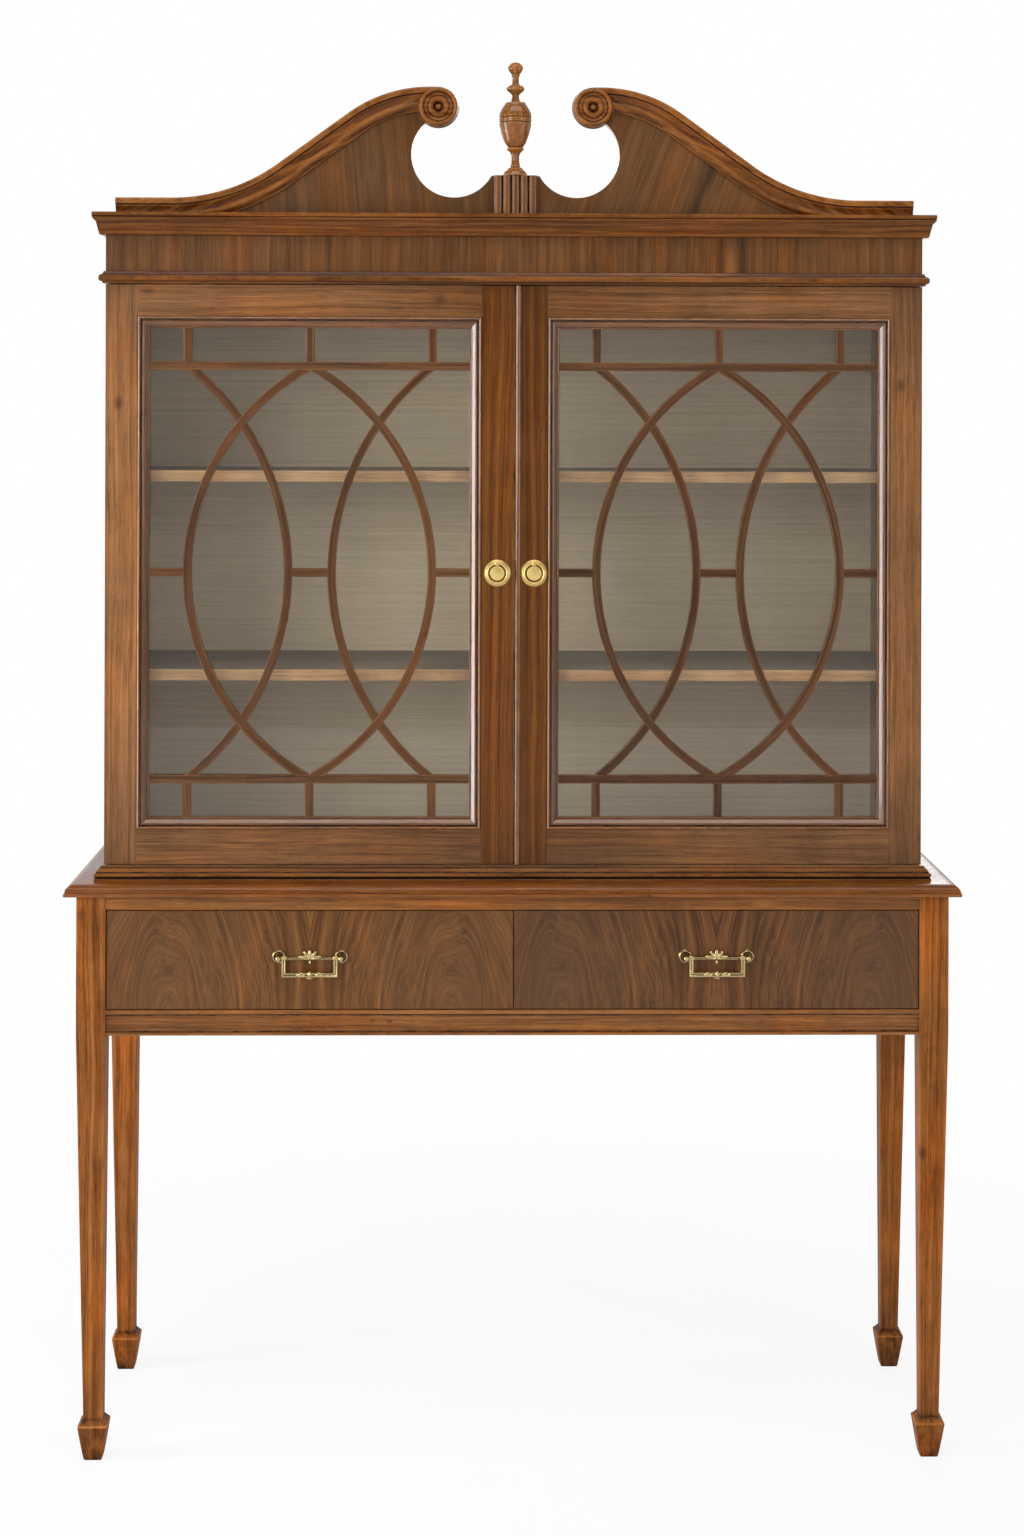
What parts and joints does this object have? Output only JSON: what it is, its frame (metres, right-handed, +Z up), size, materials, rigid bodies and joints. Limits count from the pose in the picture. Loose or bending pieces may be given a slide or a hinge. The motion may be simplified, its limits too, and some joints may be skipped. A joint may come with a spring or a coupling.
{
  "type": "display cabinet",
  "caption": "Glazed display cabinet on a stand with drawers: tapering legs with spade feet, traceried glass doors, inside shelves, a broken swan-neck pediment with rosettes and an urn finial.",
  "frame": {"origin": "centre of the bounding box at floor level", "axes": "+Z up, -Y towards the front with the doors and drawers, +X to the right of someone who faces the front"},
  "size_m": [1.345, 0.418, 2.1065],
  "materials": {
    "walnut": "polished",
    "figured_walnut": "polished figured veneer",
    "inner_wood": "waxed",
    "glass": "clear",
    "polished_brass": "polished",
    "antique_brass": "aged"
  },
  "bodies": {
    "cabinet": {"back_panel": "inner_wood", "case_bottom": "walnut", "case_fittings": "polished_brass", "case_foot_moulding": "walnut", "case_side_left": "walnut", "case_side_right": "walnut", "case_top": "walnut", "cornice": "walnut", "drawer_partition": "inner_wood", "drawer_rail_lower": "walnut", "drawer_rail_upper": "walnut", "drawer_runners": "inner_wood", "dust_board": "inner_wood", "finial": "walnut", "finial_block": "walnut", "frieze_bead": "walnut", "frieze_front": "figured_walnut", "frieze_sides": "walnut", "leg_back_left": "walnut", "leg_back_right": "walnut", "leg_front_left": "walnut", "leg_front_right": "walnut", "pediment_board_left": "figured_walnut", "pediment_board_right": "figured_walnut", "rosettes": "walnut", "shelf_pins": "polished_brass", "shelves": "walnut", "stand_back_rail": "walnut", "stand_side_rails": "walnut", "stand_top": "walnut", "swan_necks": "walnut"},
    "door_left": {"door_left_fittings": "polished_brass", "door_left_glass": "glass", "door_left_glazing_beads": "walnut", "door_left_moulding": "walnut", "door_left_pull_rose": "polished_brass", "door_left_rails": "walnut", "door_left_stiles": "walnut", "door_left_tracery": "walnut"},
    "ring_left": {"door_left_ring": "polished_brass"},
    "door_right": {"door_right_fittings": "polished_brass", "door_right_glass": "glass", "door_right_glazing_beads": "walnut", "door_right_meeting_bead": "walnut", "door_right_moulding": "walnut", "door_right_pull_rose": "polished_brass", "door_right_rails": "walnut", "door_right_stiles": "walnut", "door_right_tracery": "walnut"},
    "ring_right": {"door_right_ring": "polished_brass"},
    "drawer_left": {"drawer_left_bottom": "inner_wood", "drawer_left_front": "figured_walnut", "drawer_left_pull_mount": "antique_brass", "drawer_left_walls": "inner_wood"},
    "bail_left": {"drawer_left_bail": "antique_brass"},
    "drawer_right": {"drawer_right_bottom": "inner_wood", "drawer_right_front": "figured_walnut", "drawer_right_pull_mount": "antique_brass", "drawer_right_walls": "inner_wood"},
    "bail_right": {"drawer_right_bail": "antique_brass"}
  },
  "joints": [
    {"name": "door_left_hinge", "type": "hinge", "parent": "cabinet", "child": "door_left", "pos_m": [-0.6145, -0.1445, 1.328], "axis": [0, 0, -1], "range_deg": [0, 170]},
    {"name": "door_right_hinge", "type": "hinge", "parent": "cabinet", "child": "door_right", "pos_m": [0.6145, -0.1445, 1.328], "axis": [0, 0, 1], "range_deg": [0, 170]},
    {"name": "ring_left_swing", "type": "hinge", "parent": "door_left", "child": "ring_left", "pos_m": [-0.026, -0.1605, 1.3455], "axis": [-1, 0, 0], "range_deg": [0, 90]},
    {"name": "ring_right_swing", "type": "hinge", "parent": "door_right", "child": "ring_right", "pos_m": [0.03, -0.1605, 1.3455], "axis": [-1, 0, 0], "range_deg": [0, 90]},
    {"name": "drawer_left_slide", "type": "slide", "parent": "cabinet", "child": "drawer_left", "axis": [0, -1, 0], "range_m": [0, 0.25]},
    {"name": "drawer_right_slide", "type": "slide", "parent": "cabinet", "child": "drawer_right", "axis": [0, -1, 0], "range_m": [0, 0.25]},
    {"name": "bail_left_swing", "type": "hinge", "parent": "drawer_left", "child": "bail_left", "pos_m": [-0.30538, -0.2, 0.75675], "axis": [-1, 0, 0], "range_deg": [0, 85]},
    {"name": "bail_right_swing", "type": "hinge", "parent": "drawer_right", "child": "bail_right", "pos_m": [0.30538, -0.2, 0.75675], "axis": [-1, 0, 0], "range_deg": [0, 85]}
  ]
}
